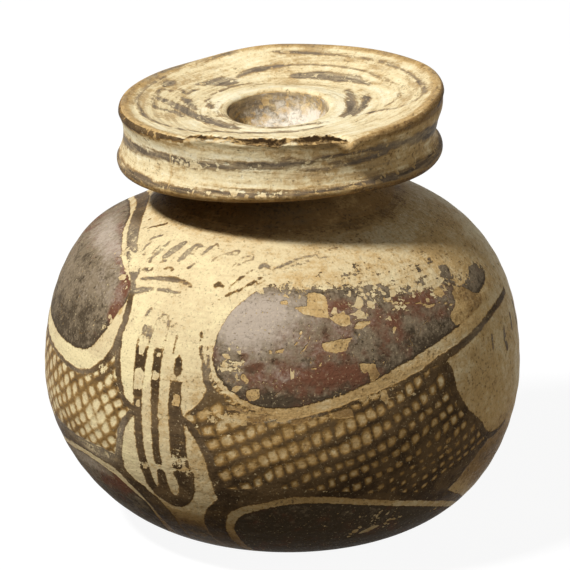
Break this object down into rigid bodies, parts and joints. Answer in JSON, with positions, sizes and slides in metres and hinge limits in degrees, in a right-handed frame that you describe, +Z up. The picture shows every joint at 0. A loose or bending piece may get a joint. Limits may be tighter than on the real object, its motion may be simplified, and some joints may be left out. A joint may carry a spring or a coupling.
{
  "type": "aryballos",
  "caption": "Small round-bodied fired clay oil flask with a short narrow neck, a wide dished mouth disc and a strap handle, painted with a leaf ornament.",
  "frame": {"origin": "centre of the standing ring, on the surface that the vessel stands on", "axes": "+Z up along the axis of the body, -Y towards the painted front, +Y towards the strap handle"},
  "size_m": [0.07, 0.07, 0.0654],
  "materials": {
    "painted_body": "buff fired clay with worn dark brown and purple-red slip painting, faintly burnished",
    "banded_disc": "buff fired clay with worn dark brown rings and bands",
    "bare_clay": "buff fired clay, matt, with soil stains",
    "joint_clay": "buff fired clay smeared smooth by hand, matt"
  },
  "bodies": {
    "root": {"body": "painted_body", "mouth_disc": "banded_disc", "neck": "bare_clay", "strap_handle": "bare_clay", "neck_foot_luting": "joint_clay", "neck_top_luting": "joint_clay", "handle_foot_luting": "joint_clay", "handle_top_luting": "joint_clay"}
  },
  "joints": []
}
